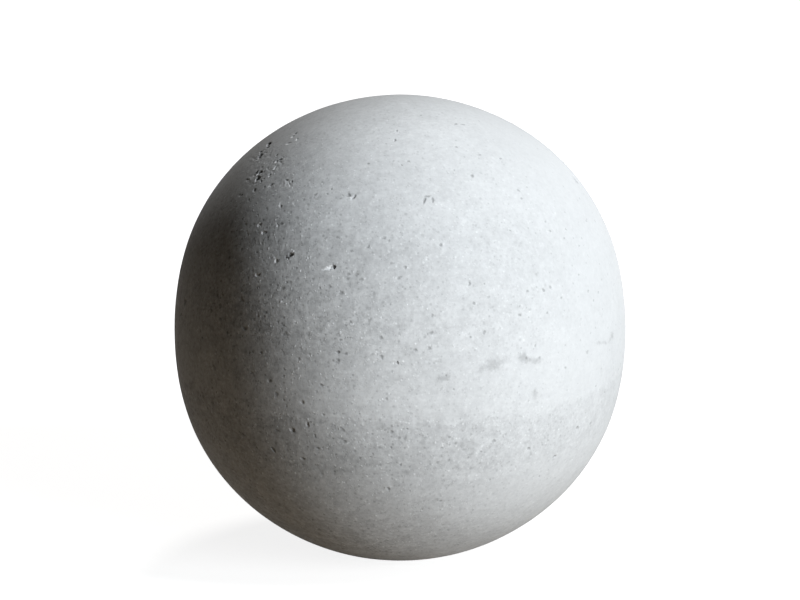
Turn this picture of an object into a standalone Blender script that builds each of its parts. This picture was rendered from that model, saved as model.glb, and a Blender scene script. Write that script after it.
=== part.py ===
"""Concrete ball, cast solid in one piece.

Metres, +Z up. The origin is the ball's centre and +Z runs through its poles. The mould was in two halves,
strapped round their joint, so the girth is drawn in a little from a true sphere. Air trapped against the
mould left bug holes in the skin. The ball has no flat: it stands on one point of its underside.
"""

import math
import random

import bmesh
import bpy
from mathutils import Matrix, Vector

# Driving dimensions
POLE_DIAMETER = 0.250  # from pole to pole, the mould's own diameter
GIRTH_DIAMETER = 0.242  # at the mould's joint, where the strap drew it in
GIRTH_LATITUDE = 2.0  # degrees above the equator, where the mould's joint ran
GIRTH_REACH = 26.0  # degrees of latitude over which the drawn-in girth fades out

# How finely the ball is divided. Multiples of four keep its box centred.
SEGMENTS = 80
RINGS = 40

# Bug holes on the front. Each row is the longitude and latitude in degrees, the width, height and depth
# in millimetres, and the turn in degrees. Longitude 0 faces -Y and grows towards +X.
FRONT_HOLES = (
    # The big oblique one above the left middle, and those around it
    (-31.3, 30.8, 4.4, 2.7, 1.8, 30.0),
    (-17.8, 29.5, 2.2, 2.2, 1.6, 0.0),
    (-37.8, 38.2, 2.4, 2.0, 0.6, 20.0),
    (-15.0, 23.5, 2.6, 2.4, 0.5, 0.0),
    (-31.5, 23.0, 3.6, 1.8, 0.5, 10.0),
    # The chipped patch at the upper left
    (-80.0, 56.0, 4.0, 3.2, 1.5, 15.0),
    (-74.1, 52.6, 3.6, 3.0, 1.3, -20.0),
    (-62.2, 49.1, 2.4, 2.2, 1.0, 25.0),
    (-60.3, 47.4, 3.0, 2.8, 1.3, 0.0),
    (-57.1, 44.4, 2.2, 3.0, 0.8, 30.0),
    (-58.0, 54.1, 2.8, 2.0, 0.8, 50.0),
    (-50.7, 47.1, 2.4, 2.0, 0.6, 0.0),
    (-45.5, 49.3, 2.2, 2.0, 0.6, 0.0),
    # Down the left
    (-40.2, 25.0, 2.2, 2.4, 0.7, 0.0),
    (-44.0, 18.5, 4.2, 2.8, 0.5, -25.0),
    (-51.5, 15.5, 3.0, 2.6, 0.9, 0.0),
    (-71.0, 12.0, 3.6, 3.4, 1.0, 0.0),
    (-41.5, 12.0, 4.2, 2.2, 0.9, 5.0),
    (-29.0, 12.5, 3.8, 2.0, 0.5, -28.0),
    # Scattered across the girth
    (-15.0, 7.5, 2.6, 2.6, 0.5, 0.0),
    (-4.5, 9.0, 2.4, 2.2, 0.6, 0.0),
    (7.0, 11.0, 2.2, 2.0, 0.5, 0.0),
    (-52.0, 0.0, 2.8, 2.4, 0.6, 0.0),
    (-38.5, 1.5, 3.0, 1.8, 0.5, 10.0),
    (-33.0, 0.5, 2.4, 2.8, 0.6, -15.0),
    (-31.0, -2.5, 3.0, 2.0, 0.5, 0.0),
    (-24.0, -3.5, 3.0, 2.2, 0.7, 10.0),
    # In the more open band under the girth
    (-22.8, -9.0, 1.9, 2.8, 1.0, 0.0),
    (-27.0, -11.0, 2.6, 2.8, 0.9, 0.0),
    (-31.5, -12.0, 3.0, 2.0, 0.5, 0.0),
    (-33.5, -17.5, 1.9, 4.0, 1.0, 22.0),
    (-25.0, -18.5, 2.6, 1.8, 0.8, 0.0),
    (-14.0, -9.5, 2.6, 2.4, 0.5, 0.0),
    (-13.5, -12.6, 2.2, 2.2, 0.5, 0.0),
    (23.5, -13.5, 2.4, 2.2, 0.5, 0.0),
    (51.0, -15.5, 2.6, 2.4, 0.8, 0.0),
    (44.0, -21.8, 2.2, 2.0, 0.7, 0.0),
)

# Bug holes on the sides and back, scattered by a seeded draw
BACK_HOLES = 22
BACK_FROM, BACK_TO = 78.0, 278.0  # longitudes in degrees
BACK_LOW, BACK_HIGH = -48.0, 56.0  # latitudes in degrees
BACK_WIDTHS = (2.2, 4.4)  # millimetres, smallest and largest
BACK_SPACING = 9.0  # degrees kept between the holes
BACK_SEED = 41

HOLE_SEGMENTS = 10
HOLE_RINGS = 6
MM = 0.001

# The skin: a pale, faintly cool grey, dry and matt
CONCRETE_COLOUR = (0.64, 0.655, 0.665, 1.0)
CONCRETE_ROUGHNESS = 0.9


def new_collection(name):
    collection = bpy.data.collections.new(name)
    bpy.context.scene.collection.children.link(collection)
    return collection


def radius_at(latitude):
    """The ball's radius in metres at a latitude in degrees."""
    drawn_in = (POLE_DIAMETER - GIRTH_DIAMETER) / 2.0
    away = (latitude - GIRTH_LATITUDE) / GIRTH_REACH
    return POLE_DIAMETER / 2.0 - drawn_in * math.exp(-away * away)


def surface_frame(longitude, latitude):
    """A matrix on the surface there: its X points east, its Y north and its Z outwards."""
    lon = math.radians(longitude)
    lat = math.radians(latitude)
    outward = Vector((math.cos(lat) * math.sin(lon), -math.cos(lat) * math.cos(lon), math.sin(lat)))
    east = Vector((math.cos(lon), math.sin(lon), 0.0))
    north = outward.cross(east)
    turned = Matrix((east, north, outward)).transposed().to_4x4()
    return Matrix.Translation(outward * radius_at(latitude)) @ turned


def concrete_material():
    material = bpy.data.materials.new("concrete")
    material.use_nodes = True
    shader = material.node_tree.nodes["Principled BSDF"]
    shader.inputs["Base Color"].default_value = CONCRETE_COLOUR
    shader.inputs["Roughness"].default_value = CONCRETE_ROUGHNESS
    shader.inputs["Metallic"].default_value = 0.0
    material.diffuse_color = CONCRETE_COLOUR
    return material


def add_ball(collection):
    """The cast ball before its holes: a sphere whose rings take the mould's radius at their latitude."""
    shape = bmesh.new()
    bmesh.ops.create_uvsphere(shape, u_segments=SEGMENTS, v_segments=RINGS, radius=1.0)
    for vert in shape.verts:
        direction = vert.co.normalized()
        latitude = math.degrees(math.asin(max(-1.0, min(1.0, direction.z))))
        vert.co = direction * radius_at(latitude)
    mesh = bpy.data.meshes.new("concrete_ball")
    shape.to_mesh(mesh)
    shape.free()
    mesh.shade_smooth()
    mesh.materials.append(concrete_material())
    ball = bpy.data.objects.new("concrete_ball", mesh)
    collection.objects.link(ball)
    return ball


def add_hole(collection, name, longitude, latitude, width, height, depth, turn):
    """An egg-shaped cutter, centred on the surface, that leaves one bug hole. Sizes are in millimetres."""
    shape = bmesh.new()
    bmesh.ops.create_uvsphere(shape, u_segments=HOLE_SEGMENTS, v_segments=HOLE_RINGS, radius=1.0)
    mesh = bpy.data.meshes.new(name)
    shape.to_mesh(mesh)
    shape.free()
    size = Matrix.Diagonal((width / 2.0 * MM, height / 2.0 * MM, depth * MM, 1.0))
    mesh.transform(Matrix.Rotation(math.radians(turn), 4, "Z") @ size)
    cutter = bpy.data.objects.new(name, mesh)
    cutter.matrix_world = surface_frame(longitude, latitude)
    cutter.hide_render = True
    cutter.display_type = "WIRE"
    collection.objects.link(cutter)


def back_holes():
    """Rows like those of FRONT_HOLES, for the sides and back."""
    draw = random.Random(BACK_SEED)
    rows = []
    directions = []
    while len(rows) < BACK_HOLES:
        longitude = draw.uniform(BACK_FROM, BACK_TO)
        latitude = draw.uniform(BACK_LOW, BACK_HIGH)
        width = draw.uniform(*BACK_WIDTHS)
        height = width * draw.uniform(0.6, 1.0)
        depth = height * draw.uniform(0.45, 0.65)
        turn = draw.uniform(-40.0, 40.0)
        direction = surface_frame(longitude, latitude).to_3x3().col[2]
        if all(math.degrees(direction.angle(other)) >= BACK_SPACING for other in directions):
            rows.append((longitude, latitude, width, height, depth, turn))
            directions.append(direction.copy())
    return rows


def build():
    for old in list(bpy.data.objects):
        bpy.data.objects.remove(old, do_unlink=True)
    parts = new_collection("concrete_ball")
    cutters = new_collection("bug_hole_cutters")
    ball = add_ball(parts)
    for number, row in enumerate(list(FRONT_HOLES) + back_holes(), 1):
        add_hole(cutters, f"bug_hole_{number:02d}", *row)
    cut = ball.modifiers.new("bug_holes", "BOOLEAN")
    cut.operation = "DIFFERENCE"
    cut.solver = "EXACT"
    cut.operand_type = "COLLECTION"
    cut.collection = cutters


build()
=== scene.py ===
"""The looks of the concrete ball: its cast skin with real bug holes, casting layers, sand grains and scuffs.

Metres, +Z up, in the frame's own coordinates. Longitude 0 faces the camera's side (-Y) and grows towards
+X; latitude is 0 at the equator and grows upwards.
"""
import math
import random

import bmesh
import bpy
import numpy as np
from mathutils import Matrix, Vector, noise


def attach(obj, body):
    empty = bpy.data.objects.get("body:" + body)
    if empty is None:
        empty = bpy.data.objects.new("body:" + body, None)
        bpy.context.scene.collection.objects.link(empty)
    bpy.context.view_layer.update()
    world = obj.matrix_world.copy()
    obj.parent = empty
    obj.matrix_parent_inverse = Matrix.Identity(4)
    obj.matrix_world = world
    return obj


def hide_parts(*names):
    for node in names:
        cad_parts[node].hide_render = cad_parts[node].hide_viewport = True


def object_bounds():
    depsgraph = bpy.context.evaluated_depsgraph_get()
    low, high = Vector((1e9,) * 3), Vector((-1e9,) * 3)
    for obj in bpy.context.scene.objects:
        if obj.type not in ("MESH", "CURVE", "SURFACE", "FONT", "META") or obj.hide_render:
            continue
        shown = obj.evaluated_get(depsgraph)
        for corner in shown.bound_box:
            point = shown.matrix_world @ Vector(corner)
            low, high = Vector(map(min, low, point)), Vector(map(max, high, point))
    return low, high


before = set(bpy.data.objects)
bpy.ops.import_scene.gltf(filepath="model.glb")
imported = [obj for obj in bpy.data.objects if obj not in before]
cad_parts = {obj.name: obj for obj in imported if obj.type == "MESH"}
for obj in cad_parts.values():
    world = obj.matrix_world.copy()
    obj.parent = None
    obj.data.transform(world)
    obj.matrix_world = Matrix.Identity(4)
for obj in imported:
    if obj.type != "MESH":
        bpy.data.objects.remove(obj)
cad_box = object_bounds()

MM = 0.001

# The ball's profile, which is the mould's
POLE_RADIUS = (cad_box[1][2] - cad_box[0][2]) / 2.0
GIRTH_RADIUS = 0.121
GIRTH_LATITUDE = 2.0  # degrees, where the mould's joint ran
GIRTH_REACH = 26.0  # degrees over which the drawn-in girth fades out

# The camera, from the photograph's 800 x 600 frame
BALL_CENTRE_PX = (400.0, 327.4)
BALL_RADIUS_PX = 233.4
FRAME_PX = (800.0, 600.0)
VIEW_ELEVATION = 16.0  # degrees above the level
SENSOR_MM = 36.0
LENS_MM = 135.0

# Bug holes on the front. Each row is the longitude and latitude in degrees, the width, height and depth
# in millimetres, and the turn in degrees. The solid has the same ones, many of them wider and deeper.
BIG_HOLES = (
    # The big oblique one above the left middle, and those around it
    (-31.4, 31.1, 2.8, 2.2, 0.8, 20.0),
    (-17.9, 29.5, 2.1, 1.8, 0.9, 0.0),
    (-38.0, 38.0, 2.2, 1.6, 0.18, 20.0),
    (-15.0, 23.5, 2.8, 2.4, 0.15, 0.0),
    (-31.5, 23.0, 3.6, 1.8, 0.12, 10.0),
    # The chipped patch at the upper left
    (-80.0, 56.0, 4.0, 3.2, 1.5, 15.0),
    (-74.1, 52.6, 3.6, 3.0, 1.3, -20.0),
    (-62.2, 49.1, 2.4, 2.2, 1.0, 25.0),
    (-60.3, 47.4, 3.0, 2.8, 1.3, 0.0),
    (-57.1, 44.4, 1.8, 2.8, 0.5, 30.0),
    (-58.0, 54.1, 2.8, 1.6, 0.5, 50.0),
    (-50.7, 47.1, 2.4, 1.8, 0.3, 0.0),
    (-45.5, 49.3, 1.8, 1.8, 0.35, 0.0),
    # Down the left
    (-39.8, 25.1, 1.5, 1.8, 0.4, 0.0),
    (-44.0, 18.5, 4.2, 2.8, 0.12, -25.0),
    (-51.5, 15.5, 3.0, 2.6, 0.35, 0.0),
    (-71.0, 12.0, 3.6, 3.4, 0.7, 0.0),
    (-41.5, 12.0, 4.0, 2.0, 0.35, 5.0),
    (-29.0, 12.5, 3.8, 2.0, 0.12, -28.0),
    # Scattered across the girth
    (-15.0, 7.5, 2.6, 2.6, 0.15, 0.0),
    (-4.5, 9.0, 2.4, 2.2, 0.22, 0.0),
    (7.0, 11.0, 2.2, 2.0, 0.15, 0.0),
    (-52.0, 0.0, 2.8, 2.4, 0.2, 0.0),
    (-38.5, 1.5, 3.0, 1.8, 0.12, 10.0),
    (-33.0, 0.5, 2.2, 2.6, 0.25, -15.0),
    (-31.0, -2.5, 3.0, 2.0, 0.12, 0.0),
    (-24.0, -3.5, 2.8, 2.0, 0.25, 10.0),
    # In the more open band under the girth
    (-22.8, -9.0, 2.0, 2.4, 0.4, 0.0),
    (-27.0, -11.0, 2.3, 2.4, 0.6, 0.0),
    (-31.5, -12.0, 3.0, 2.0, 0.15, 0.0),
    (-33.5, -17.5, 1.8, 3.8, 0.6, 22.0),
    (-25.0, -18.5, 2.4, 1.8, 0.4, 0.0),
    (-14.0, -9.5, 2.6, 2.4, 0.15, 0.0),
    (-13.5, -12.6, 2.2, 2.2, 0.15, 0.0),
    (23.5, -13.5, 2.4, 2.2, 0.2, 0.0),
    (51.0, -15.5, 2.4, 2.2, 0.4, 0.0),
    (44.0, -21.8, 2.2, 2.0, 0.4, 0.0),
)

# Smaller ones, crisp enough in the photo to have a place of their own
SMALL_HOLES = (
    # The arched mark above the middle, and the two wavy ones at its left and at the upper right
    (8.2, 46.7, 2.0, 3.4, 0.35, -18.0),
    (11.0, 46.7, 1.6, 3.0, 0.25, 14.0),
    (9.6, 47.7, 2.8, 1.4, 0.15, 0.0),
    (-18.0, 47.6, 3.2, 1.7, 0.3, 0.0),
    (-15.8, 47.3, 1.3, 3.2, 0.35, -25.0),
    (44.6, 70.8, 2.4, 1.6, 0.25, 20.0),
    (49.5, 70.0, 2.6, 1.5, 0.25, -15.0),
    # Single dots over the top and right
    (3.8, 58.4, 1.5, 1.4, 0.2, 0.0),
    (11.5, 35.1, 1.6, 1.6, 0.25, 0.0),
    (1.3, 30.0, 1.8, 1.6, 0.2, 0.0),
    (44.5, 46.4, 1.7, 1.6, 0.2, 0.0),
    (43.7, 44.2, 1.5, 1.3, 0.2, 0.0),
    (47.7, 56.1, 1.7, 1.4, 0.2, 0.0),
    (34.3, 22.0, 1.8, 1.4, 0.2, 0.0),
    (41.9, 21.8, 1.7, 1.5, 0.2, 0.0),
    (45.0, 18.6, 1.6, 1.6, 0.2, 0.0),
    (56.3, 18.1, 1.8, 1.4, 0.2, 0.0),
    (61.2, 16.7, 1.6, 1.4, 0.2, 0.0),
    (30.9, 16.8, 1.7, 1.6, 0.2, 0.0),
    (39.4, 16.0, 1.5, 1.4, 0.2, 0.0),
    (18.7, 20.9, 1.7, 1.4, 0.2, 30.0),
    (8.0, 18.7, 1.5, 1.5, 0.15, 0.0),
    (20.9, 13.9, 2.4, 1.5, 0.2, 25.0),
    (34.7, 8.8, 1.6, 1.6, 0.2, 0.0),
    (44.2, 1.6, 1.7, 1.6, 0.2, 0.0),
    # Across the middle
    (-0.6, 7.6, 1.3, 1.4, 0.5, 0.0),
    (-4.6, 13.5, 2.2, 1.9, 0.15, 0.0),
    (-13.0, 9.4, 1.8, 1.5, 0.15, 0.0),
    (-25.0, 7.0, 2.0, 1.8, 0.12, 0.0),
    (-19.0, 1.3, 2.0, 1.8, 0.12, 0.0),
    (-2.0, -9.5, 1.9, 1.8, 0.15, 0.0),
    (-3.2, -1.2, 1.5, 1.5, 0.12, 0.0),
    (0.1, -18.3, 1.6, 1.5, 0.2, 0.0),
    (-9.7, -5.2, 1.5, 1.5, 0.12, 0.0),
    (-18.6, -6.1, 1.6, 1.5, 0.12, 0.0),
    (-20.6, -15.0, 1.7, 1.6, 0.2, 0.0),
    (-21.1, -11.6, 1.6, 1.5, 0.15, 0.0),
    (-12.2, 16.9, 1.8, 1.4, 0.15, 0.0),
    (-14.5, 12.6, 1.8, 1.4, 0.12, 0.0),
    (-13.6, 28.0, 2.0, 1.7, 0.12, 0.0),
    (-11.5, 28.1, 2.0, 1.8, 0.10, 0.0),
    (-10.0, 27.0, 1.9, 1.6, 0.10, 0.0),
    (-4.5, 37.0, 2.4, 1.8, 0.10, 0.0),
    (-18.3, 24.7, 2.2, 1.8, 0.10, 20.0),
    (-13.5, 33.5, 2.0, 1.7, 0.10, 0.0),
    (-18.3, 36.6, 2.0, 1.6, 0.10, 0.0),
    (-0.2, 27.5, 2.4, 1.9, 0.10, 0.0),
    (-7.5, 17.6, 2.2, 2.4, 0.10, 0.0),
    (7.6, 14.6, 1.9, 1.7, 0.12, 0.0),
    (-25.0, 48.9, 1.2, 1.0, 0.2, 0.0),
    # Down the left, where the light grazes
    # A wide shallow one that spreads painted shade round the big oblique hole
    (-31.9, 30.7, 5.0, 2.8, 0.06, 30.0),
    (-32.5, 30.5, 1.4, 2.4, 0.30, 10.0),
    (-31.8, 30.2, 1.5, 1.5, 0.30, 0.0),
    (-28.5, 28.2, 1.5, 1.5, 0.10, 0.0),
    (-30.6, 24.6, 1.5, 1.4, 0.10, 0.0),
    (-35.0, 29.1, 1.3, 1.5, 0.30, 0.0),
    (-36.5, 20.7, 1.6, 1.5, 0.10, 0.0),
    (-29.0, 2.3, 1.6, 1.5, 0.10, 0.0),
    (-29.1, -3.7, 1.6, 1.6, 0.12, 0.0),
    (-28.3, -5.1, 1.5, 1.4, 0.10, 0.0),
    (-39.0, -18.1, 1.8, 1.7, 0.15, 0.0),
    (-44.1, -14.9, 1.7, 1.6, 0.12, 0.0),
    (-49.0, -5.8, 2.0, 1.8, 0.20, 0.0),
    (-47.3, 9.6, 1.7, 1.5, 0.12, 0.0),
    (-51.0, 12.5, 1.7, 1.5, 0.12, 0.0),
    (-54.8, 13.5, 2.0, 1.7, 0.20, 0.0),
    (-42.1, 32.5, 1.7, 1.5, 0.10, 0.0),
    (-40.8, 34.2, 1.6, 1.6, 0.10, 0.0),
    (-42.2, 35.3, 1.3, 1.6, 0.35, 20.0),
    (-45.3, 36.8, 1.3, 1.6, 0.30, 0.0),
    (-41.0, 42.3, 1.4, 1.8, 0.25, 10.0),
    (-51.6, 35.9, 1.8, 1.6, 0.12, 0.0),
    (-56.1, 33.0, 1.9, 1.6, 0.12, 0.0),
    # Around the chipped patch
    (-76.8, 55.3, 1.8, 1.8, 0.6, 0.0),
    (-77.9, 53.3, 1.8, 1.6, 0.6, 0.0),
    (-70.5, 62.5, 2.0, 1.7, 0.5, 0.0),
    (-62.7, 54.9, 1.6, 1.4, 0.35, 0.0),
    (-64.3, 48.7, 2.2, 2.0, 0.8, 0.0),
    (-57.3, 47.1, 1.8, 1.6, 0.5, 0.0),
    (-66.5, 46.0, 1.6, 1.3, 0.2, 0.0),
    (-62.0, 42.1, 1.1, 1.4, 0.25, 10.0),
    (-53.4, 46.0, 1.7, 1.3, 0.2, 0.0),
    (-42.6, 49.2, 1.4, 1.7, 0.3, 0.0),
)

# Shallow chips in the skin, most of them beside holes on the side that faces the light; their paler colour
# is partly the broken skin's own and partly a painted highlight on the holes' lit walls: longitude,
# latitude, width, height, depth and turn
HIGHLIT_CHIPS = (
    (-20.4, 28.7, 2.4, 1.3, 0.15, 0.0),
    (-19.7, 28.9, 3.6, 1.8, 0.28, 5.0),
    (-19.2, 29.15, 3.2, 2.2, 0.48, 0.0),
    (-18.7, 29.35, 3.0, 2.2, 0.68, 0.0),
    (-16.5, 46.9, 1.8, 1.8, 0.18, 0.0),
    (-40.4, 25.0, 2.0, 2.1, 0.35, 0.0),
    (-27.5, -11.0, 1.6, 2.2, 0.25, 0.0),
    (-58.8, 53.4, 2.2, 1.8, 0.40, 30.0),
    (-56.1, 51.5, 1.7, 2.4, 0.35, 0.0),
    (-62.7, 48.5, 1.3, 2.4, 0.35, 0.0),
    (-64.3, 47.9, 2.6, 2.2, 0.50, 0.0),
    (-55.5, 49.2, 1.7, 1.7, 0.30, 0.0),
    (-56.9, 47.9, 1.5, 1.5, 0.25, 0.0),
    (-65.4, 46.0, 2.0, 1.7, 0.25, 0.0),
    (-69.1, 61.4, 2.2, 2.2, 0.30, 0.0),
    (-62.8, 61.2, 2.4, 1.8, 0.30, 0.0),
    (-65.0, 59.1, 3.6, 1.8, 0.30, 20.0),
    (-63.2, 41.8, 1.6, 1.8, 0.30, 0.0),
    (-51.4, 46.8, 1.6, 1.6, 0.20, 0.0),
    (-43.0, 48.5, 1.2, 4.6, 0.12, 50.0),
    (-36.7, 43.7, 2.2, 1.7, 0.08, 0.0),
    (-41.7, 42.7, 1.4, 2.2, 0.12, 10.0),
    (-38.9, 37.6, 1.8, 1.7, 0.25, 0.0),
    (-45.9, 36.6, 1.7, 2.4, 0.30, 20.0),
    (-43.0, 35.1, 1.8, 2.2, 0.32, 0.0),
    (-35.4, 29.1, 1.6, 2.0, 0.30, 0.0),
    (-31.0, 32.4, 2.2, 1.0, 0.10, 0.0),
    (-34.3, 20.8, 1.5, 1.4, 0.06, 0.0),
    (-31.8, 19.0, 1.6, 1.5, 0.06, 0.0),
    (-37.8, 15.8, 1.5, 1.4, 0.06, 0.0),
    (-33.8, 12.1, 1.5, 1.3, 0.06, 0.0),
    (-51.6, 17.8, 1.6, 1.4, 0.08, 0.0),
    (-57.4, 19.3, 1.7, 1.5, 0.08, 0.0),
    (-59.2, 34.2, 1.8, 1.5, 0.08, 0.0),
    (-37.1, -4.8, 1.6, 1.5, 0.06, 0.0),
    (-28.8, -19.8, 1.5, 1.5, 0.06, 0.0),
    (-1.4, 7.6, 1.0, 1.4, 0.10, 0.0),
)

# Broken skin, finely pitted: longitude, latitude, half width and half height in mm, turn, depth in mm
BROKEN = (
    (-62.0, 48.5, 8.0, 6.0, 20.0, 0.45),
    (-58.0, 53.0, 7.0, 5.0, 0.0, 0.28),
    (-74.0, 53.0, 10.0, 6.0, 30.0, 0.45),
    (-46.0, 48.0, 9.0, 6.0, 0.0, 0.14),
)

# Bug holes on the sides and back, by the same seeded draw as the solid's
BACK_HOLES = 22
BACK_FROM, BACK_TO = 78.0, 278.0  # longitudes in degrees
BACK_LOW, BACK_HIGH = -48.0, 56.0  # latitudes in degrees
BACK_WIDTHS = (2.2, 4.4)  # millimetres, smallest and largest
BACK_HEIGHTS = (0.6, 1.0)  # shares of the width
BACK_DEPTHS = (0.45, 0.65)  # shares of the height
BACK_TURN = 40.0  # degrees, at most, either way
BACK_SPACING = 9.0  # degrees kept between the holes
BACK_SEED = 41

# Small pores, as real hollows: how many to draw, and how likely one stays at each latitude
PORES_DRAWN = 620
PORE_WIDTHS = (1.2, 2.3)  # millimetres
PORE_SHRINK = 2.2  # the power that makes most of them small
PORE_HEIGHTS = (0.7, 1.0)  # shares of the width
PORE_DEPTHS = (0.06, 0.22)  # shares of the height
PORE_SPACING = 1.2  # degrees kept to every other hole
PORE_SEED = 7
PORE_DENSITY = (  # latitude, share kept
    (-90.0, 0.12),
    (-50.0, 0.18),
    (-26.0, 0.30),
    (-20.0, 0.95),
    (-8.0, 0.95),
    (-6.0, 0.40),
    (4.0, 0.40),
    (10.0, 0.70),
    (36.0, 0.60),
    (48.0, 0.25),
    (90.0, 0.12),
)

# Grey scuffs along the girth, and a soft darkening round the big oblique hole that spreads its painted
# shade:
# longitude, latitude, half width and half height in mm, turn, strength
SCUFFS = (
    # Painted shade spread round the big oblique hole
    (-31.9, 30.7, 1.7, 1.2, 30.0, 1.8),
    (9.7, 3.5, 5.0, 2.2, 0.0, 0.8),
    (12.2, 4.1, 3.0, 1.5, 15.0, 0.5),
    (23.0, 5.9, 5.2, 3.4, -6.0, 1.05),
    (19.6, 5.0, 4.4, 2.2, 4.0, 0.5),
    (26.2, 7.1, 3.0, 1.8, 28.0, 0.42),
    (31.1, 6.5, 3.2, 3.0, -30.0, 1.1),
    (34.4, 5.3, 4.6, 2.0, -8.0, 0.75),
    (34.5, -3.3, 2.2, 4.0, 12.0, 0.85),
    (60.0, 4.3, 12.0, 1.4, -14.0, 0.6),
    (66.5, 4.4, 4.0, 3.2, 0.0, 0.8),
)

# Broad lighter and darker places, partly the skin's own tone and partly painted light and shade: the lit
# right side is painted darker, the top and upper left lighter, and the left middle near the shadow darker.
# Longitude, latitude, radii in degrees, tone
TONE_AND_LIGHT_PATCHES = (
    (-10.0, 33.0, 12.0, 5.0, -0.05),
    (-28.0, -14.0, 9.0, 5.5, -0.03),
    (-8.0, -2.5, 20.0, 5.0, 0.09),
    (-34.0, 44.0, 12.0, 7.0, 0.05),
    (-15.0, 42.0, 24.0, 22.0, 0.07),
    (-20.0, 64.0, 24.0, 15.0, 0.09),
    (-40.0, 10.0, 14.0, 22.0, -0.12),
    (62.0, 12.0, 26.0, 40.0, -0.07),
    (42.0, 38.0, 20.0, 14.0, -0.06),
    (22.0, -36.0, 34.0, 15.0, 0.05),
)

# Rougher skin, where sand and pores stand out more in relief and in colour. The first rows, on the left
# where the light grazes, also raise the colour grain there as painted relief shading. Longitude, latitude,
# radii in degrees, strength
ROUGH_SKIN_AND_GRAZING_SHADE = (
    (-42.0, 20.0, 42.0, 55.0, 1.0),
    (-42.0, 34.0, 14.0, 26.0, 0.4),
    (37.0, -15.0, 26.0, 9.0, 0.21),
    (3.0, 0.0, 28.0, 60.0, 0.07),
    (0.0, -60.0, 45.0, 24.0, 0.2),
    (180.0, 0.0, 75.0, 80.0, 0.45),
)

# A hole's rim strays from an oval in waves, crumbles, and sinks a little outside its edge
RIM_WAVES = (2, 3, 4, 5)  # waves round the rim
RIM_WAVE_SIZES = (0.06, 0.24)  # shares of the radius, for the broadest wave
RIM_SEED = 5
CRUMB_MM = 1.1
CRUMB_SIZE = 0.35  # share of the radius
SINK_REACH = 0.35  # share of the radius
SINK_DEPTH = 0.06  # share of the hole's depth

# A hole's section and painted shade follow its narrowness, its depth as a share of its smaller side: each
# pair is a value at 0 and its growth. The section's power goes from a dish's to that of a well with steep
# walls, and a well gets a darker painted shade, with a crisper edge to it.
SECTION_POWER = (1.3, -1.6)
WELL_POWER, DISH_POWER = 0.35, 1.0
CRISPNESS = (0.35, 1.0)
DARKNESS = (0.4, 0.4)
DARKEST = 0.65
SHADE_EDGE = (1.1, 0.1)  # share of the radius, by crispness
SHADE_SOFTNESS = (0.6, -0.35)  # share of the radius, by crispness

# Pits of the broken skin: size in mm and share
PITS = ((2.0, 1.0), (1.0, 0.5))
PIT_OFFSET = 0.1  # above 0, so that pits take up more than half of the skin
PIT_EDGE = 0.01  # mm, where the broken skin ends

# The mould's wall wavers by a little: waves along the ball's radius and share
WAVES = ((3.0, 0.6), (9.0, 0.3), (28.0, 0.1))
WAVE_DEPTH = 0.18  # mm, half of the most that it takes off

# A soft spot fades out where the skin turns away from its middle, from this cosine down to 0
SPOT_FADE = 0.35

# How finely the ball is meshed: faces along a cube side, then halvings in the zones that need them
BASE_FACES = 75
FINE_HALVINGS = 3
SOFT_HALVINGS = 2
HOLE_ZONE = 0.575  # radius of a hole's zone, as a share of its larger side
FACE_REACH = 0.75  # a little over half a face's diagonal, as a share of its side
DEEP_PITS = 0.2  # mm, past which broken skin is meshed finely
MAP_FILL = 0.985  # share of its square that each side of the UV map fills


def radius_at(latitude):
    """The ball's radius at a latitude in degrees, or at an array of them."""
    away = (latitude - GIRTH_LATITUDE) / GIRTH_REACH
    return POLE_RADIUS - (POLE_RADIUS - GIRTH_RADIUS) * np.exp(-away * away)


def direction_at(longitude, latitude):
    lon = math.radians(longitude)
    lat = math.radians(latitude)
    return np.array((math.cos(lat) * math.sin(lon), -math.cos(lat) * math.cos(lon), math.sin(lat)))


def tangents_at(longitude, latitude, turn):
    """Two unit vectors along the surface: east and north, turned anticlockwise as seen from outside."""
    lon = math.radians(longitude)
    outward = direction_at(longitude, latitude)
    east = np.array((math.cos(lon), math.sin(lon), 0.0))
    north = np.cross(outward, east)
    c, s = math.cos(math.radians(turn)), math.sin(math.radians(turn))
    return east * c + north * s, north * c - east * s


def back_holes():
    """Rows like those of BIG_HOLES, for the sides and back."""
    draw = random.Random(BACK_SEED)
    rows = []
    directions = []
    while len(rows) < BACK_HOLES:
        longitude = draw.uniform(BACK_FROM, BACK_TO)
        latitude = draw.uniform(BACK_LOW, BACK_HIGH)
        width = draw.uniform(*BACK_WIDTHS)
        height = width * draw.uniform(*BACK_HEIGHTS)
        depth = height * draw.uniform(*BACK_DEPTHS)
        turn = draw.uniform(-BACK_TURN, BACK_TURN)
        direction = Vector(direction_at(longitude, latitude))
        if all(math.degrees(direction.angle(other)) >= BACK_SPACING for other in directions):
            rows.append((longitude, latitude, width, height, depth, turn))
            directions.append(direction)
    return rows


def pores(taken):
    """Small round pores, drawn evenly over the ball and kept by the density of their latitude."""
    draw = random.Random(PORE_SEED)
    latitudes, shares = zip(*PORE_DENSITY)
    rows = []
    directions = list(taken)
    for _ in range(PORES_DRAWN):
        longitude = draw.uniform(-180.0, 180.0)
        latitude = math.degrees(math.asin(draw.uniform(-1.0, 1.0)))
        small, large = PORE_WIDTHS
        width = small + (large - small) * draw.random() ** PORE_SHRINK
        height = width * draw.uniform(*PORE_HEIGHTS)
        depth = height * draw.uniform(*PORE_DEPTHS)
        turn = draw.uniform(-90.0, 90.0)
        keep = draw.random() < np.interp(latitude, latitudes, shares)
        direction = Vector(direction_at(longitude, latitude))
        if keep and all(math.degrees(direction.angle(other)) > PORE_SPACING for other in directions):
            rows.append((longitude, latitude, width, height, depth, turn))
            directions.append(direction)
    return rows


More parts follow.
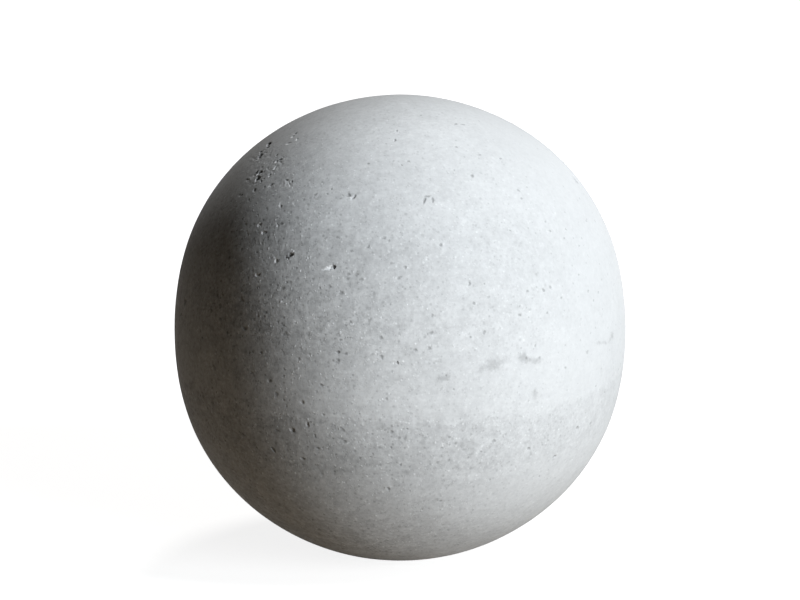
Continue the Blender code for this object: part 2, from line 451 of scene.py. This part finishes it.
def cube_sphere(zones):
    """A ball of unit radius from an evenly divided cube, with its faces halved inside the zones.

    Each zone is a longitude and latitude in degrees, a radius in mm and the number of halvings.
    """
    shape = bmesh.new()
    bmesh.ops.create_cube(shape, size=2.0)
    bmesh.ops.subdivide_edges(shape, edges=shape.edges[:], cuts=BASE_FACES - 1, use_grid_fill=True)
    for vert in shape.verts:
        vert.co = Vector([math.tan(c * math.pi / 4.0) for c in vert.co]).normalized()
    centres = np.array([direction_at(zone[0], zone[1]) for zone in zones])
    radii = np.array([zone[2] for zone in zones]) * MM / POLE_RADIUS
    wanted = np.array([zone[3] for zone in zones])
    face_size = math.pi / 2.0 / BASE_FACES
    for halving in range(wanted.max()):
        shape.faces.ensure_lookup_table()
        middles = np.array([face.calc_center_median().normalized() for face in shape.faces])
        here = wanted > halving
        reach = np.cos(radii[here] + face_size * FACE_REACH)
        near = ((middles @ centres[here].T) > reach).any(axis=1)
        chosen = {edge for face, hit in zip(shape.faces, near) if hit for edge in face.edges}
        bmesh.ops.subdivide_edges(shape, edges=list(chosen), cuts=1, use_grid_fill=True)
        for vert in shape.verts:
            vert.co.normalize()
        face_size /= 2.0
    return shape


def grown(pair, by):
    """A value that starts at the pair's first number and grows by its second."""
    start, growth = pair
    return start + growth * by


def rim_waves(draw):
    """How one hole's rim strays from an oval: waves round it, their phase and their size."""
    waves = []
    for count in RIM_WAVES:
        phase = draw.uniform(0.0, 2.0 * math.pi)
        waves.append((count, phase, draw.uniform(*RIM_WAVE_SIZES) / (count - 1)))
    return waves


def hole_shapes(directions, holes):
    """How deep each point lies in a hole, in metres, and how much of the shade painted into the hole is on
    it, 0 to 1.
    """
    depth = np.zeros(len(directions))
    shade = np.zeros(len(directions))
    draw = random.Random(RIM_SEED)
    to_mm = POLE_RADIUS / MM
    for longitude, latitude, width, height, deep, turn in holes:
        waves = rim_waves(draw)
        middle = direction_at(longitude, latitude)
        across, along = tangents_at(longitude, latitude, turn)
        reach = math.cos(max(width, height) * MM / POLE_RADIUS)
        near = np.nonzero(directions @ middle > reach)[0]
        x = directions[near] @ across * POLE_RADIUS / (width / 2.0 * MM)
        y = directions[near] @ along * POLE_RADIUS / (height / 2.0 * MM)
        angle = np.arctan2(y, x)
        out = np.hypot(x, y)
        for count, phase, size in waves:
            out = out * (1.0 + size * np.sin(count * angle + phase))
        crumbs = np.array([noise.noise(Vector(place) * to_mm / CRUMB_MM) for place in directions[near]])
        out = out * (1.0 + CRUMB_SIZE * crumbs)
        narrowness = deep / min(width, height)
        power = min(max(grown(SECTION_POWER, narrowness), WELL_POWER), DISH_POWER)
        bowl = np.clip(1.0 - out * out, 0.0, 1.0) ** power
        sink = SINK_DEPTH * np.clip(1.0 + SINK_REACH - out, 0.0, SINK_REACH) / SINK_REACH
        depth[near] = np.maximum(depth[near], (bowl + sink) * deep * MM)
        crisp = min(grown(CRISPNESS, narrowness), 1.0)
        darkness = min(grown(DARKNESS, narrowness), DARKEST)
        cover = np.clip((grown(SHADE_EDGE, crisp) - out) / grown(SHADE_SOFTNESS, crisp), 0.0, 1.0)
        shade[near] = np.maximum(shade[near], darkness * cover)
    return depth, shade


def soft_spots(directions, rows, in_degrees):
    """The sum of soft spots. Each row is longitude, latitude, two radii in degrees or mm, turn, strength."""
    total = np.zeros(len(directions))
    scale = math.radians(1.0) if in_degrees else MM / POLE_RADIUS
    for longitude, latitude, wide, high, turn, strength in rows:
        middle = direction_at(longitude, latitude)
        across, along = tangents_at(longitude, latitude, turn)
        x = directions @ across / (wide * scale)
        y = directions @ along / (high * scale)
        facing = np.clip(directions @ middle / SPOT_FADE, 0.0, 1.0)
        total += strength * np.exp(-(x * x + y * y)) * facing
    return total


def sheet_map(mesh, directions):
    """A UV map of six cube sides, three by two, with even scale over the ball."""
    layer = mesh.uv_layers.new(name="OFBake")
    corners = np.empty(len(mesh.loops), dtype=np.int64)
    mesh.loops.foreach_get("vertex_index", corners)
    totals = np.empty(len(mesh.polygons), dtype=np.int64)
    mesh.polygons.foreach_get("loop_total", totals)
    owner = np.repeat(np.arange(len(totals)), totals)
    middles = np.zeros((len(totals), 3))
    np.add.at(middles, owner, directions[corners])
    axis = np.abs(middles).argmax(axis=1)
    positive = np.take_along_axis(middles, axis[:, None], axis=1)[:, 0] > 0.0
    side = axis * 2 + positive
    side_here, axis_here = side[owner], axis[owner]
    point = directions[corners]
    lead = np.abs(np.take_along_axis(point, axis_here[:, None], axis=1)[:, 0])
    first = np.take_along_axis(point, ((axis_here + 1) % 3)[:, None], axis=1)[:, 0] / lead
    second = np.take_along_axis(point, ((axis_here + 2) % 3)[:, None], axis=1)[:, 0] / lead
    first = np.where(positive[owner], first, -first)
    u = 0.5 + np.arctan(first) * (2.0 / math.pi) * MAP_FILL
    v = 0.5 + np.arctan(second) * (2.0 / math.pi) * MAP_FILL
    uv = np.stack(((side_here % 3 + u) / 3.0, (side_here // 3 + v) / 2.0), axis=1)
    layer.data.foreach_set("uv", uv.astype(np.float32).ravel())


def add_attribute(mesh, name, values):
    attribute = mesh.attributes.new(name, "FLOAT", "POINT")
    attribute.data.foreach_set("value", np.asarray(values, dtype=np.float32))


def waviness(directions):
    """Slow unevenness of the mould's wall, in metres, always inwards."""
    wave = np.empty(len(directions))
    for i, direction in enumerate(directions):
        place = Vector(direction)
        wave[i] = sum(noise.noise(place * rate) * share for rate, share in WAVES)
    return (np.clip(wave, -1.0, 1.0) - 1.0) * WAVE_DEPTH * MM


def pitting(directions):
    """How deep the fine pits of the broken skin are, in metres."""
    depth = soft_spots(directions, BROKEN, in_degrees=False)
    for i in np.nonzero(depth > PIT_EDGE)[0]:
        place = Vector(directions[i]) * (POLE_RADIUS / MM)
        pitted = sum(noise.noise(place / size) * share for size, share in PITS)
        depth[i] *= min(max(pitted + PIT_OFFSET, 0.0), 1.0)
    return depth * MM


def all_holes():
    """Every hole and pore of the skin, those with a place of their own first."""
    placed = list(BIG_HOLES) + list(SMALL_HOLES) + back_holes()
    return placed + pores([Vector(direction_at(row[0], row[1])) for row in placed])


def fine_zones(holes):
    """Where the mesh has to be fine: longitude, latitude, radius in mm and halvings."""
    zones = []
    for longitude, latitude, width, height, _, _ in holes + list(HIGHLIT_CHIPS):
        zones.append((longitude, latitude, max(width, height) * HOLE_ZONE, FINE_HALVINGS))
    for longitude, latitude, wide, high, _, _ in SCUFFS:
        zones.append((longitude, latitude, max(wide, high), SOFT_HALVINGS))
    for longitude, latitude, wide, high, _, deep in BROKEN:
        halvings = FINE_HALVINGS if deep > DEEP_PITS else SOFT_HALVINGS
        zones.append((longitude, latitude, max(wide, high), halvings))
    return zones


def make_ball():
    holes = all_holes()
    shape = cube_sphere(fine_zones(holes))
    mesh = bpy.data.meshes.new("concrete_ball_cast")
    shape.to_mesh(mesh)
    shape.free()
    directions = np.empty(len(mesh.vertices) * 3)
    mesh.vertices.foreach_get("co", directions)
    directions = directions.reshape(-1, 3)
    directions /= np.linalg.norm(directions, axis=1, keepdims=True)
    latitudes = np.degrees(np.arcsin(np.clip(directions[:, 2], -1.0, 1.0)))
    depth, shade = hole_shapes(directions, holes)
    chip_depth, chip_highlight_share = hole_shapes(directions, HIGHLIT_CHIPS)
    radii = radius_at(latitudes) + waviness(directions) - np.maximum(depth, chip_depth) - pitting(directions)
    mesh.vertices.foreach_set("co", (directions * radii[:, None]).ravel())
    # Shade painted into the holes, with some dust, darker in narrow deep ones
    add_attribute(mesh, "hole_shade", shade)
    # Pale chips: partly the broken skin's own colour, partly a painted highlight on the holes' lit walls
    add_attribute(mesh, "chip_highlight", np.clip(chip_highlight_share * 2.0, 0.0, 1.0) * (1.0 - shade))
    add_attribute(mesh, "scuff", soft_spots(directions, SCUFFS, in_degrees=False))
    # The patch share holds the broad patches, partly painted light and shade
    for name, rows in (("patch", TONE_AND_LIGHT_PATCHES), ("rough", ROUGH_SKIN_AND_GRAZING_SHADE)):
        unturned = [(lon, lat, wide, high, 0.0, strength) for lon, lat, wide, high, strength in rows]
        add_attribute(mesh, name, soft_spots(directions, unturned, in_degrees=True))
    sheet_map(mesh, directions)
    mesh.shade_smooth()
    mesh.update()
    ball = bpy.data.objects.new("concrete_ball_cast", mesh)
    bpy.context.scene.collection.objects.link(ball)
    return ball


class Nodes:
    """Short calls for building one material's node tree."""

    def __init__(self, tree):
        self.tree = tree

    def add(self, kind, inputs=None, **settings):
        node = self.tree.nodes.new(kind)
        for name, value in settings.items():
            setattr(node, name, value)
        for name, value in (inputs or {}).items():
            self.feed(node.inputs[name], value)
        return node

    def feed(self, socket, value):
        if isinstance(value, bpy.types.NodeSocket):
            self.tree.links.new(value, socket)
        else:
            socket.default_value = value

    def math(self, operation, first, second=0.0, third=0.0):
        node = self.tree.nodes.new("ShaderNodeMath")
        node.operation = operation
        for socket, value in zip(node.inputs, (first, second, third)):
            self.feed(socket, value)
        return node.outputs[0]

    def attribute(self, name):
        return self.add("ShaderNodeAttribute", attribute_name=name).outputs["Fac"]

    def times(self, first, second):
        return self.math("MULTIPLY", first, second)

    def total(self, first, *others):
        for other in others:
            first = self.math("ADD", first, other)
        return first

    def grown(self, pair, by):
        """A value that starts at the pair's first number and grows by its second."""
        start, growth = pair
        return self.math("MULTIPLY_ADD", by, growth, start)

    def tinted(self, value, mask, amount):
        """The value, made lighter or darker by a share of itself where the mask is 1."""
        return self.times(value, self.math("MULTIPLY_ADD", mask, amount, 1.0))

    def moved(self, where, operation, by):
        node = self.add("ShaderNodeVectorMath", operation=operation)
        self.feed(node.inputs[0], where)
        self.feed(node.inputs[1], by)
        return node.outputs[0]

    def between(self, value, low, high):
        """A smooth step from 0 to 1 as the value goes from low to high."""
        limits = {"Value": value, "From Min": low, "From Max": high}
        return self.add("ShaderNodeMapRange", limits, interpolation_type="SMOOTHSTEP").outputs["Result"]

    def noise(self, where, size_mm, detail=2.0, roughness=0.5):
        """Noise centred on 0, from about -1 to 1, with features about size_mm across."""
        settings = {"Vector": where, "Scale": 1.0 / size_mm, "Detail": detail, "Roughness": roughness}
        return self.math("MULTIPLY_ADD", self.add("ShaderNodeTexNoise", settings).outputs["Fac"], 2.0, -1.0)

    def spots(self, where, cell_mm, shift, smallest, largest, soft):
        """Round spots cut from a cell pattern, 1 in the middle and 0 outside, with random radii in mm."""
        place = self.moved(where, "ADD", (shift, shift * 1.7, shift * 0.6))
        cells = self.add("ShaderNodeTexVoronoi", {"Vector": place, "Scale": 1.0 / cell_mm}, feature="F1")
        draw = self.add("ShaderNodeSeparateColor", {"Color": cells.outputs["Color"]}).outputs[0]
        size = self.math("MULTIPLY_ADD", draw, (largest - smallest) / cell_mm, smallest / cell_mm)
        return self.between(self.math("DIVIDE", cells.outputs["Distance"], size), 1.0, soft)

    def curve(self, share, rows):
        """A smooth curve through rows of a latitude and a level, looked up by the share of the height.

        A colour ramp holds it at half its level, so that levels up to 2 fit.
        """
        node = self.add("ShaderNodeValToRGB", {"Fac": share})
        node.color_ramp.interpolation = "EASE"
        elements = node.color_ramp.elements
        while len(elements) < len(rows):
            elements.new(0.5)
        for element, (latitude, level) in zip(elements, rows):
            element.position = height_share(latitude)
            element.color = (level / 2.0, level / 2.0, level / 2.0, 1.0)
        return self.times(node.outputs["Color"], 2.0)


def height_share(latitude):
    """Where a latitude lies between the lower pole, 0, and the upper pole, 1."""
    return 0.5 + 0.5 * math.sin(math.radians(latitude)) * float(radius_at(latitude)) / POLE_RADIUS


# The casting layers, with painted light towards the top pole: latitude, and the skin's tone there. The lower
# edge of the pale layer is sharp.
LAYER_AND_TOP_LIGHT_TONES = (
    (-75.0, 1.08),
    (-55.0, 1.10),
    (-42.0, 1.08),
    (-30.0, 1.04),
    (-22.5, 1.02),
    (-20.5, 0.96),
    (-9.0, 0.97),
    (-6.6, 1.06),
    (0.0, 1.06),
    (8.0, 1.03),
    (16.0, 1.00),
    (34.0, 0.98),
    (42.0, 1.02),
    (55.0, 1.00),
    # Lighter towards the top pole, partly painted light from above
    (75.0, 1.06),
)

# How grainy each layer is: latitude and share
LAYER_GRAIN = (
    (-60.0, 1.9),
    (-26.0, 1.2),
    (-20.0, 1.4),
    (-8.0, 1.35),
    (-5.0, 0.85),
    (5.0, 0.9),
    (12.0, 1.1),
    (36.0, 0.9),
    (46.0, 0.72),
    (60.0, 0.62),
)

# How far the layers' edges stray up and down: features and reach in mm
WANDER = (55.0, 3.0)
RAGGED = (5.0, 1.6)

# On the smoother side the layers show less and all grain is weaker; where the light grazes, the stronger
# colour
# grain is partly painted relief shading: the level there, and what the rough share adds
LAYER_CONTRAST = (0.45, 1.1)
GRAIN_LEVEL = (0.21, 1.4)

# Mottling, from clouds a few centimetres wide down to dust: features in mm and change in tone
CLOUDS = (38.0, 0.05)
MOTTLE = (12.0, 0.095)
FLECKS = (5.0, 0.19)
FLECK_DETAIL = 3.0
SAND = (2.0, 0.22)
DUST = (0.9, 0.09)
STREAKS = (2.2, 0.06)
STREAK_STRETCH = (0.12, 0.12, 1.0)  # drawn out along the layers

# Round spots, too fine for the mesh. Each row is the cell in mm that holds one, a shift that sets the rows
# apart, the smallest and largest radius in mm, the share of it that is in full, the change in tone and the
# relief in mm.
GRAINY_SPOTS = (
    (2.8, 31.0, 0.25, 0.85, 0.3, 0.14, 0.04),  # pale sand
    (3.4, 53.0, 0.25, 0.80, 0.5, 0.20, 0.06),  # brighter, crisper quartz
    (3.2, 77.0, 0.30, 1.25, 0.2, -0.22, -0.03),  # grey smudges
    (1.9, 13.0, 0.05, 0.40, 0.55, -0.15, -0.06),  # pinholes
)
EVEN_SPOTS = (
    (4.0, 91.0, 0.20, 0.85, 0.4, -0.16, -0.03),  # dots, alike in rough and smooth skin
)

# Ragged grit: features in mm, a shift, the noise levels that it grows between, change in tone, relief in mm
GRIT = (
    (2.0, (60.0, 0.0, 0.0), 0.22, 0.50, 0.14, 0.02),
    (2.4, (0.0, 60.0, 0.0), 0.20, 0.45, -0.14, -0.02),
)
SAND_RELIEF = 0.03  # mm
LUMPS = (4.5, 0.02)  # features and relief in mm

# Scuffs break up at their edges: features in mm and how far the noise eats in, and the levels that they
# grow between, with the noise and without it
SCUFF_BREAKS = (3.2, 0.9)
SCUFF_DETAIL, SCUFF_ROUGHNESS = 4.0, 0.7
SCUFF_GROWS = (0.15, 1.0)
SCUFF_BOUND = (0.02, 0.4)

# Changes in tone: scuffs, painted shade and some dust in holes, and pale chips with a painted highlight
SCUFF_TINT = -0.24
# The holes' painted shade: how dark at most, and how much less it fades on the smoother side than the layers
# do
HOLE_SHADE_TINT = -0.75
HOLE_SHADE_LIFT = 0.15  # how much less a hollow fades on the smoother side than the layers do
# The chips' pale tone, partly a painted highlight on the holes' lit walls
CHIP_HIGHLIGHT_TINT = 0.4

SKIN_COLOUR = (0.642, 0.655, 0.664)
SKIN_ROUGHNESS = 0.9
SKIN_GLOSS = 0.1


def speckle(n, where, settings, detail=2.0, roughness=0.5):
    """Noise from a pair of settings, the size of its features in mm and its strength."""
    size_mm, strength = settings
    return n.times(n.noise(where, size_mm, detail, roughness), strength)


def casting_layers(n, where, contrast):
    """The layers' tone, which is about 1, and their grain. Both go by the height."""
    height = n.add("ShaderNodeSeparateXYZ", {"Vector": where}).outputs["Z"]
    strayed = n.total(height, speckle(n, where, WANDER, 1.0), speckle(n, where, RAGGED))
    share = n.math("MULTIPLY_ADD", strayed, MM / (2.0 * POLE_RADIUS), 0.5)
    tone = n.math("MULTIPLY_ADD", n.total(n.curve(share, LAYER_AND_TOP_LIGHT_TONES), -1.0), contrast, 1.0)
    return tone, n.curve(share, LAYER_GRAIN)


def mottling(n, where, grain):
    """The change in tone from clouds, flecks, streaks, sand and dust."""
    streaks = speckle(n, n.moved(where, "MULTIPLY", STREAK_STRETCH), STREAKS)
    flecks = speckle(n, where, FLECKS, FLECK_DETAIL)
    mottle, sand, dust = [speckle(n, where, settings) for settings in (MOTTLE, SAND, DUST)]
    return n.total(speckle(n, where, CLOUDS), n.times(n.total(mottle, flecks, streaks, sand, dust), grain))


def small_marks(n, where, grain):
    """Spots and grit as rows of a mask, its change in tone and its relief in mm."""
    marks = []
    for rows, level in ((GRAINY_SPOTS, grain), (EVEN_SPOTS, 1.0)):
        for cell, shift, smallest, largest, soft, tint, relief in rows:
            spots = n.spots(where, cell, shift, smallest, largest, soft)
            marks.append((n.times(spots, level), tint, relief))
    for size, shift, low, high, tint, relief in GRIT:
        grit = n.between(n.noise(n.moved(where, "ADD", shift), size), low, high)
        marks.append((n.times(grit, grain), tint, relief))
    return marks


def scuffs_and_painted_light(n, where, skin, contrast):
    """The skin's tone with its scuffs, the painted shade in its holes and the painted highlight on its
    chips.
    """
    hill = n.attribute("scuff")
    broken = n.total(hill, speckle(n, where, SCUFF_BREAKS, SCUFF_DETAIL, SCUFF_ROUGHNESS))
    scuff = n.times(n.between(broken, *SCUFF_GROWS), n.between(hill, *SCUFF_BOUND))
    skin = n.tinted(skin, scuff, SCUFF_TINT)
    # Shade painted into the holes, weaker on the smoother side
    hole_shade_seen = n.math("MINIMUM", n.total(contrast, HOLE_SHADE_LIFT), 1.0)
    skin = n.tinted(skin, n.times(n.attribute("hole_shade"), hole_shade_seen), HOLE_SHADE_TINT)
    return n.tinted(skin, n.attribute("chip_highlight"), CHIP_HIGHLIGHT_TINT)


def concrete_material():
    material = bpy.data.materials.new("cast_concrete")
    material.use_nodes = True
    tree = material.node_tree
    n = Nodes(tree)
    coordinates = n.add("ShaderNodeTexCoord").outputs["Object"]
    where = n.moved(coordinates, "MULTIPLY", (1.0 / MM, 1.0 / MM, 1.0 / MM))
    rough = n.attribute("rough")
    contrast = n.math("MINIMUM", n.grown(LAYER_CONTRAST, rough), 1.0)
    layer_tone, layer_grain = casting_layers(n, where, contrast)
    # Grain in colour and relief, raised by the rough share; in colour, where the light grazes, partly
    # painted relief shading
    grain = n.times(layer_grain, n.grown(GRAIN_LEVEL, rough))
    marks = small_marks(n, where, grain)

    # The patch share is partly painted light and shade
    skin = n.times(layer_tone, n.total(mottling(n, where, grain), n.attribute("patch"), 1.0))
    for mark, tint, _ in marks:
        skin = n.tinted(skin, mark, tint)
    skin = scuffs_and_painted_light(n, where, skin, contrast)
    colour = n.add("ShaderNodeVectorMath", {"Scale": skin}, operation="SCALE")
    n.feed(colour.inputs[0], SKIN_COLOUR)

    sand_mm, _ = SAND
    sand_relief = n.times(n.times(n.noise(where, sand_mm), grain), SAND_RELIEF)
    mark_relief = [n.times(mark, relief) for mark, _, relief in marks]
    height = n.total(sand_relief, speckle(n, where, LUMPS), *mark_relief)
    bump = n.add("ShaderNodeBump", {"Height": height, "Distance": MM, "Strength": 1.0})

    shader = tree.nodes["Principled BSDF"]
    tree.links.new(colour.outputs[0], shader.inputs["Base Color"])
    tree.links.new(bump.outputs["Normal"], shader.inputs["Normal"])
    shader.inputs["Roughness"].default_value = SKIN_ROUGHNESS
    shader.inputs["Specular IOR Level"].default_value = SKIN_GLOSS
    return material


def seen_white(tree):
    """1 for a ray from the camera, or seen in gloss or through glass, and 0 for light's own bounces."""
    n = Nodes(tree)
    path = n.add("ShaderNodeLightPath")
    some = n.math("MAXIMUM", path.outputs["Is Camera Ray"], path.outputs["Is Glossy Ray"])
    return n.math("MAXIMUM", some, path.outputs["Is Transmission Ray"])


WHITE = (1.0, 1.0, 1.0, 1.0)
FLOOR_RADIUS = 8.0
FLOOR_COLOUR = (0.21, 0.165, 0.12, 1.0)  # what it throws back at the ball, warm and dark
FLOOR_SEEN = (0.55, 0.55, 0.55, 1.0)  # what takes the shadow, on top of the glow
FLOOR_GLOW = 0.86


def make_floor():
    shape = bmesh.new()
    bmesh.ops.create_circle(shape, cap_ends=True, segments=64, radius=FLOOR_RADIUS)
    mesh = bpy.data.meshes.new("floor")
    shape.to_mesh(mesh)
    shape.free()
    floor = bpy.data.objects.new("floor", mesh)
    floor.location.z = cad_box[0][2]
    bpy.context.scene.collection.objects.link(floor)
    material = bpy.data.materials.new("pale_floor")
    material.use_nodes = True
    tree = material.node_tree
    tree.nodes.remove(tree.nodes["Principled BSDF"])
    n = Nodes(tree)
    bounced = n.add("ShaderNodeBsdfDiffuse", {"Color": FLOOR_COLOUR}).outputs[0]
    shaded = n.add("ShaderNodeBsdfDiffuse", {"Color": FLOOR_SEEN}).outputs[0]
    glow = n.add("ShaderNodeEmission", {"Color": WHITE, "Strength": FLOOR_GLOW}).outputs[0]
    shown = n.add("ShaderNodeAddShader")
    tree.links.new(shaded, shown.inputs[0])
    tree.links.new(glow, shown.inputs[1])
    choice = n.add("ShaderNodeMixShader", {"Fac": seen_white(tree)})
    tree.links.new(bounced, choice.inputs[1])
    tree.links.new(shown.outputs[0], choice.inputs[2])
    tree.links.new(choice.outputs[0], tree.nodes["Material Output"].inputs["Surface"])
    mesh.materials.append(material)


AMBIENT = (0.001, 0.001, 0.001, 1.0)
COOL = (0.93, 0.97, 1.0)
WARM = (1.0, 0.97, 0.94)

# The lamps: name, azimuth and elevation in degrees, diameter in metres, brightness and colour
LAMP_DISTANCE = 3.6
LAMPS = (
    ("low_key", 50.0, 12.0, 1.50, 0.82, COOL),
    ("high_key", 59.0, 36.0, 0.80, 0.59, COOL),
    ("rear", 160.0, 53.0, 0.90, 0.32, WARM),
)


def make_world():
    world = bpy.data.worlds.new("studio")
    bpy.context.scene.world = world
    world.use_nodes = True
    tree = world.node_tree
    n = Nodes(tree)
    dim = tree.nodes["Background"]
    dim.inputs["Color"].default_value = AMBIENT
    white = n.add("ShaderNodeBackground", {"Color": WHITE}).outputs[0]
    choice = n.add("ShaderNodeMixShader", {"Fac": seen_white(tree)})
    tree.links.new(dim.outputs[0], choice.inputs[1])
    tree.links.new(white, choice.inputs[2])
    tree.links.new(choice.outputs[0], tree.nodes["World Output"].inputs["Surface"])


def add_lamp(name, azimuth, elevation, diameter, brightness, colour):
    """A round soft lamp that faces the ball. Brightness is how light it makes a white surface facing it."""
    lamp = bpy.data.lights.new(name, "AREA")
    lamp.shape = "DISK"
    lamp.size = diameter
    # A disk of radius R and radiance L at distance d makes such a surface L R^2 / (R^2 + d^2) bright,
    # and its power is pi L times its area
    half = diameter / 2.0
    radiance = brightness * (half * half + LAMP_DISTANCE * LAMP_DISTANCE) / (half * half)
    lamp.energy = radiance * math.pi * math.pi * half * half
    lamp.color = colour
    holder = bpy.data.objects.new(name, lamp)
    place = Vector(direction_at(azimuth, elevation)) * LAMP_DISTANCE
    holder.location = place
    holder.rotation_euler = place.to_track_quat("Z", "Y").to_euler()
    holder.visible_camera = False
    bpy.context.scene.collection.objects.link(holder)


def make_camera():
    focal_px = LENS_MM / SENSOR_MM * FRAME_PX[0]
    distance = POLE_RADIUS / math.sin(math.atan(BALL_RADIUS_PX / focal_px))
    elevation = math.radians(VIEW_ELEVATION)
    eye = Vector((0.0, -math.cos(elevation), math.sin(elevation))) * distance
    up = Vector((0.0, math.sin(elevation), math.cos(elevation)))
    right = Vector((1.0, 0.0, 0.0))
    aside = (FRAME_PX[0] / 2.0 - BALL_CENTRE_PX[0]) / focal_px * distance
    above = (BALL_CENTRE_PX[1] - FRAME_PX[1] / 2.0) / focal_px * distance
    aim = right * aside + up * above
    camera = bpy.data.cameras.new("camera")
    camera.lens = LENS_MM
    camera.sensor_width = SENSOR_MM
    camera.dof.use_dof = False
    holder = bpy.data.objects.new("camera", camera)
    holder.location = eye
    holder.rotation_euler = (aim - eye).to_track_quat("-Z", "Y").to_euler()
    bpy.context.scene.collection.objects.link(holder)
    bpy.context.scene.camera = holder


make_camera()
make_floor()
make_world()
for lamp_row in LAMPS:
    add_lamp(*lamp_row)
ball = make_ball()
ball.data.materials.append(concrete_material())
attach(ball, "root")
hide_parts("concrete_ball")

scene = bpy.context.scene
scene.view_settings.view_transform = "Standard"
